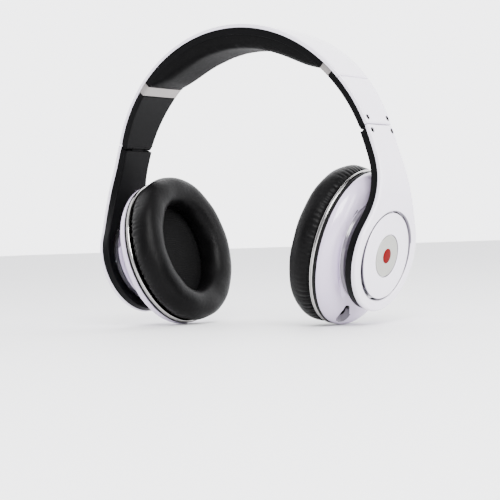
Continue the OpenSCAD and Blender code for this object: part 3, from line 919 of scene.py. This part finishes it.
def trim(side, word):
    """The bright ring: two beads with a fine groove between them."""
    rings = []
    for q, a in ((2.9, PLATE_A), (0.6, PLATE_A), (0.0, PLATE_A + 0.15),
                 (-0.3, PLATE_A + 0.45), (-0.38, PLATE_A + 0.75), (-0.3, PLATE_A + 1.0),
                 (0.1, PLATE_A + 1.08), (0.1, PLATE_A + 1.24), (-0.3, PLATE_A + 1.32),
                 (-0.36, PLATE_A + 1.55), (-0.2, PLATE_A + 1.9), (0.15, TRIM_A - 0.4),
                 (0.8, TRIM_A - 0.35), (2.9, TRIM_A - 0.35)):
        rings.append(oval_ring(q, a, 160))
    obj = loft(word + "_trim_ring_skin", rings, side, closed=True)
    finish_piece(sharpen(obj, 50), word + "_cup", [word + "_trim_ring"], CHROME)


def seal(side, word):
    """The black rubber bead between the housing and the bright ring."""
    bead = [(7.9, TRIM_A + 0.02), (2.8, TRIM_A + 0.02), (2.8, TRIM_A - 0.3),
            (0.35, TRIM_A - 0.3), (0.15, TRIM_A - 0.1), (0.2, TRIM_A + 0.8),
            (0.3, GROOVE_A + 0.1), (0.75, GROOVE_A + 0.3), (1.6, GROOVE_A + 0.3),
            (1.6, GROOVE_A - 0.02), (7.9, GROOVE_A - 0.02)]
    obj = loft(word + "_seal_ring_skin", [oval_ring(q, a, 144) for q, a in bead], side,
               closed=True)
    finish_piece(sharpen(obj, 50), word + "_cup", [word + "_seal_ring"], SEAL)


def disc(side, word, body, node):
    """The outer disc: slightly domed, with a recess for the badge."""
    profile = [(0.01, -1.3), (17, -1.3), (DISC_R - 0.4, -1.3), (DISC_R - 0.1, -1.2),
               (DISC_R, -0.95), (DISC_R - 0.06, -0.5), (DISC_R - 0.3, -0.2),
               (DISC_R - 0.8, -0.08), (20, 0.0), (14, 0.0), (BADGE_R + 0.65, 0.0),
               (BADGE_R + 0.4, -0.1), (BADGE_R + 0.32, -0.3), (BADGE_R + 0.32, -0.6),
               (0.01, -0.6)]
    obj = lathe(word + "_disc_skin", profile, side)
    finish_piece(sharpen(obj), body, [node], WHITE)
    # Painted shade on the disc's rim down in its gap, and in the groove round the badge as a dark outline.
    paint_gap_shadow(obj, side, DISC_R - 0.12, DISC_R + 5)
    paint_gap_shadow(obj, side, BADGE_R + 0.2, BADGE_R + 0.55)
    face = [(0.01, -0.58), (BADGE_R, -0.58), (BADGE_R, -0.12), (BADGE_R - 0.25, 0.02),
            (BADGE_R - 0.7, 0.04), (BADGE_R - 0.95, -0.08)]
    for k in range(9):
        r = BADGE_R - 1.2 - k * 0.62
        face += [(r, -0.08), (r - 0.31, -0.13)]
    face += [(4.9, -0.08), (4.7, -0.05), (0.01, -0.05)]
    badge = lathe(word + "_badge_skin", face, side)
    finish_piece(sharpen(badge, 50), body, [word + "_badge"], BADGE)
    dot = lathe(word + "_badge_inlay", [(0.01, -0.06), (4.3, -0.06), (4.3, 0.02), (4.1, 0.08),
                                        (2.0, 0.1), (0.01, 0.1)], side)
    finish_piece(sharpen(dot), body, [], RED)


def ear_pad_rings(around, across):
    """Rings of the ear cushion's cross-section, all the way round the oval."""
    corners = [(3.5, PAD_A), (1.3, PAD_A - 0.5), (-0.1, PAD_A - 2.6), (-0.8, PAD_A - 6),
               (-0.5, PAD_A - 10), (1.2, PAD_A - 13.9), (4.4, PAD_A - 16.3),
               (8.4, PAD_A - 16.9), (12.4, PAD_A - 16.1), (15.4, PAD_A - 13.8),
               (17.0, PAD_A - 10), (17.2, PAD_A - 5.4), (16.4, PAD_A - 1.5),
               (15.0, PAD_A + 0.05), (9.4, PAD_A + 0.1)]
    loop = smooth_loop(np.array(corners), across)
    return np.array([oval_point((CUP_UP - loop[:, 0]) * math.cos(k),
                                (CUP_FWD - loop[:, 0]) * math.sin(k), loop[:, 1])
                     for k in np.linspace(0, 2 * math.pi, around, endpoint=False)])


def smooth_loop(corners, count):
    """A closed smooth curve through the corners, resampled evenly."""
    n = len(corners)
    steps = 16
    out = []
    for i in range(n):
        p0, p1, p2, p3 = (corners[(i + k) % n] for k in (-1, 0, 1, 2))
        for j in range(steps):
            u = j / steps
            out.append(0.5 * (2 * p1 + (p2 - p0) * u + (2 * p0 - 5 * p1 + 4 * p2 - p3) * u**2
                              + (3 * p1 - p0 - 3 * p2 + p3) * u**3))
    out = np.array(out)
    closed = np.vstack([out, out[:1]])
    length = np.append(0, np.cumsum(np.linalg.norm(np.diff(closed, axis=0), axis=1)))
    at = np.linspace(0, length[-1], count, endpoint=False)
    return np.stack([np.interp(at, length, closed[:, k]) for k in (0, 1)], -1)


def points_of(mesh):
    flat = np.empty(len(mesh.vertices) * 3)
    mesh.vertices.foreach_get("co", flat)
    return flat.reshape(-1, 3) / MM


def set_points(mesh, points):
    mesh.vertices.foreach_set("co", (points * MM).ravel())
    mesh.update()


def normals_of(mesh):
    flat = np.empty(len(mesh.vertices) * 3)
    mesh.vertex_normals.foreach_get("vector", flat)
    return flat.reshape(-1, 3)


def stuff(obj, held, cap):
    """Blows a closed skin up as cloth, held at some points, and caps how far it swells."""
    start = points_of(obj.data)
    group = obj.vertex_groups.new(name="held")
    group.add([int(i) for i in np.flatnonzero(held(start))], 1.0, "REPLACE")
    mod = obj.modifiers.new("stuffing", "CLOTH")
    mod.settings.use_pressure = True
    mod.settings.uniform_pressure_force = STUFFING_PRESSURE
    mod.settings.vertex_group_mass = "held"
    mod.settings.effector_weights.gravity = 0
    mod.settings.tension_stiffness = 12
    mod.settings.compression_stiffness = 12
    mod.settings.bending_stiffness = 0.4
    scene = bpy.context.scene
    for frame_number in range(1, STUFFING_FRAMES + 1):
        scene.frame_set(frame_number)
    graph = bpy.context.evaluated_depsgraph_get()
    swollen = points_of(obj.evaluated_get(graph).data)
    obj.modifiers.clear()
    obj.vertex_groups.clear()
    scene.frame_set(1)
    move = swollen - start
    far = np.linalg.norm(move, axis=1, keepdims=True)
    set_points(obj.data, start + move * np.minimum(1, cap / np.maximum(far, 1e-9)))
    return modify(obj, "SUBSURF", levels=1)


def pleat(obj, side, seed):
    """Gathers along the cushion's two seams, deep there and fading towards its crown."""
    rng = np.random.default_rng(seed)
    depth = rng.uniform(0.45, 1.0, PLEATS)
    reach = rng.uniform(0.6, 1.25, PLEATS)
    shift = rng.uniform(-0.22, 0.22, PLEATS)
    points = points_of(obj.data)
    if side < 0:
        points[:, 0] *= -1
    x, y, a = to_oval(points)
    turn = np.arctan2(y / CUP_FWD, x / CUP_UP) % (2 * math.pi)
    inset = CUP_UP - np.hypot(x, y * CUP_UP / CUP_FWD)
    down = PAD_A - a
    place = turn / (2 * math.pi) * PLEATS
    drop = np.zeros(len(points))
    for near in (-1, 0, 1):
        number = (np.floor(place).astype(int) + near) % PLEATS
        away = place - np.floor(place) - near - 0.5 - shift[number]
        valley = np.exp(-(away / 0.24) ** 2)
        outer = np.exp(-(np.maximum(down - 0.8, 0) / (4.2 * reach[number])) ** 1.5)
        outer *= inset < 8.5
        inner = 0.55 * np.exp(-(np.maximum(down - 1, 0) / (3.4 * reach[number])) ** 1.5)
        inner *= inset >= 8.5
        drop += valley * depth[number] * (outer + inner)
    sway = 0.28 * np.sin(5 * turn + 1.1 * seed) * np.sin(3.1 * down / PAD_T * math.pi)
    sway += 0.16 * np.sin(13 * turn + 0.35 * down + seed)
    sway *= np.clip(down / 3, 0, 1)
    normal = normals_of(obj.data)
    moved = points_of(obj.data) + normal * (0.5 * sway - 0.75 * drop)[:, None]
    set_points(obj.data, moved)


def ear_cushion(side, word):
    rings = ear_pad_rings(256, 36)
    obj = loft(word + "_ear_cushion_soft", rings, side, closed=True)
    mirrored = np.array([side, 1, 1])
    stuff(obj, lambda p: to_oval(p * mirrored)[2] > PAD_A - 0.9, 0.8)
    pleat(obj, side, 3 if side > 0 else 8)
    finish_piece(obj, word + "_cup", [word + "_ear_cushion"], LEATHER)


def ear_screen(side, word):
    """The cloth stretched over the loudspeaker, bowed a little over its frame."""
    across = 40
    rings = []
    for k in range(across):
        share = 1 - k / across
        bow = 0.25 * math.cos(share * 3 * math.pi) * (share < 0.8)
        t = np.linspace(0, 2 * math.pi, 96, endpoint=False)
        rings.append(oval_point((CUP_UP - 14) * share * np.cos(t),
                                (CUP_FWD - 14) * share * np.sin(t), PAD_A + 0.05 + bow))
    obj = loft(word + "_ear_screen_cloth", rings, side)
    centre = oval_point(0.0, 0.0, PAD_A + 0.3).reshape(3) * MM
    if side < 0:
        centre[0] *= -1
    work = bmesh.new()
    work.from_mesh(obj.data)
    bmesh.ops.holes_fill(work, edges=[e for e in work.edges if e.is_boundary
                                      and (e.verts[0].co - Vector(centre)).length < 0.004])
    work.to_mesh(obj.data)
    work.free()
    modify(obj, "SOLIDIFY", thickness=0.0003, offset=-1)
    finish_piece(obj, word + "_cup", [word + "_ear_screen"], SCREEN)


def head_cushion():
    """The long pad under the crown, as wide as the liner and flush with the collars."""
    count, across = 121, 26
    angles = np.linspace(-CUSHION_END + 0.008, CUSHION_END - 0.008, count)
    k = np.linspace(0, math.pi, across)
    lower_y = np.sign(np.cos(k)) * np.abs(np.cos(k)) ** 0.32
    lower_d = np.abs(np.sin(k)) ** 0.55
    upper_y = np.linspace(-1, 1, 14)[1:-1]
    rings = []
    for a in angles:
        fade = 1 - (abs(a) / CUSHION_END) ** 6
        depth = 7.0 * fade + PAD_WRAP + 0.1
        w = float(band_width(a)) - 0.15
        y = np.append(w * lower_y, w * upper_y)
        r = LINER_R + PAD_WRAP - np.append(depth * lower_d, 0 * upper_y)
        rings.append(np.stack([r * math.sin(a), y, ARC_Z + r * math.cos(a)], -1))
    obj = loft("headband_cushion_soft", rings, caps=True)
    stuff(obj, lambda p: np.hypot(p[:, 0], p[:, 2] - ARC_Z) > LINER_R + 0.9, 0.7)
    finish_piece(obj, "headband", ["headband_cushion"], SKIN)


# ---- stage ----

BACKDROP = (-0.58, 0.81, 0.05)
SKY = 4.5
BRIGHT_WALL, DIM_ROOM = (0.98, 0.98, 1, 1), (0.14, 0.14, 0.15, 1)
FLOOR_HALF, FLOOR_DROP = 6.0, 0.0002


def stage():
    """A pale paper floor just under the cups, and a softly lit room."""
    z, half = CAD_LOW[2] - FLOOR_DROP, FLOOR_HALF
    mesh = bpy.data.meshes.new("floor")
    mesh.from_pydata([(-half, -half, z), (half, -half, z), (half, half, z), (-half, half, z)],
                     [], [(0, 1, 2, 3)])
    floor = bpy.data.objects.new("floor", mesh)
    bpy.context.scene.collection.objects.link(floor)
    paper = Shader("floor_paper", (0.86, 0.86, 0.86), 0.6)
    paper.vary_colour(paper.noise(3, 2), (0.855, 0.855, 0.86), (0.87, 0.87, 0.875))
    mesh.materials.append(paper.material)
    world = bpy.data.worlds.new("studio")
    bpy.context.scene.world = world
    world.use_nodes = True
    tree = world.node_tree
    sky = tree.nodes["Background"]
    sky.inputs["Strength"].default_value = SKY
    # A bright backdrop, and a dimmer room in front of the headphones
    place = tree.nodes.new("ShaderNodeTexCoord")
    toward = tree.nodes.new("ShaderNodeVectorMath")
    toward.operation = "DOT_PRODUCT"
    toward.inputs[1].default_value = BACKDROP
    spread = tree.nodes.new("ShaderNodeMapRange")
    spread.inputs["From Min"].default_value = -0.3
    spread.inputs["From Max"].default_value = 0.6
    mix = tree.nodes.new("ShaderNodeMix")
    mix.data_type = "RGBA"
    mix.inputs[6].default_value = DIM_ROOM
    mix.inputs[7].default_value = BRIGHT_WALL
    tree.links.new(place.outputs["Generated"], toward.inputs[0])
    tree.links.new(toward.outputs["Value"], spread.inputs["Value"])
    tree.links.new(spread.outputs["Result"], mix.inputs[0])
    tree.links.new(mix.outputs[2], sky.inputs["Color"])


def soft_light(name, place, target, size, power):
    data = bpy.data.lights.new(name, "AREA")
    data.shape = "RECTANGLE"
    data.size, data.size_y = size
    data.energy = power
    obj = bpy.data.objects.new(name, data)
    obj.location = place
    aim = Vector(target) - Vector(place)
    obj.rotation_euler = aim.to_track_quat("-Z", "Y").to_euler()
    bpy.context.scene.collection.objects.link(obj)


LIGHT_AIM_Z = -0.08


def lights():
    middle = (0, 0, LIGHT_AIM_Z)
    soft_light("key", (0.9, -0.9, 0.9), middle, (0.9, 0.9), 56)
    soft_light("side", (1.3, 0.3, 0.1), middle, (0.8, 1.2), 26)
    soft_light("fill", (-1.2, -0.8, 0.2), middle, (0.12, 1.2), 1.2)


CAMERA_AT = (0.5293, -0.7390, -0.1125)
CAMERA_YAW, CAMERA_PITCH, CAMERA_ROLL = 35.72, 0.43, -2.07
CAMERA_LENS = 109.15


def camera():
    a, e, roll = (math.radians(v) for v in (CAMERA_YAW, CAMERA_PITCH, CAMERA_ROLL))
    back = Vector((math.sin(a) * math.cos(e), -math.cos(a) * math.cos(e), math.sin(e)))
    right = Vector((math.cos(a), math.sin(a), 0))
    up = back.cross(right)
    turned = math.cos(roll) * right + math.sin(roll) * up
    upright = -math.sin(roll) * right + math.cos(roll) * up
    data = bpy.data.cameras.new("camera")
    data.lens = CAMERA_LENS
    obj = bpy.data.objects.new("camera", data)
    basis = Matrix((turned, upright, back)).transposed().to_4x4()
    obj.matrix_world = Matrix.Translation(CAMERA_AT) @ basis
    bpy.context.scene.collection.objects.link(obj)
    bpy.context.scene.camera = obj


camera()
lights()
stage()
dress_cad_nodes()
headband()
head_cushion()
for side, word in ((1, "left"), (-1, "right")):
    end_collar(side, word)
    slider(side, word)
    slider_liner(side, word)
    arm(side, word)
    arm_liner(side, word)
    hinge_screws(side, word, "slider", -SCREW_STEP)
    hinge_screws(side, word, "arm", SCREW_STEP)
    dome(side, word)
    trim(side, word)
    seal(side, word)
    ear_screen(side, word)
    ear_cushion(side, word)
disc(1, "left", "battery_door", "battery_cover")
disc(-1, "right", "mute_disc", "mute_button")
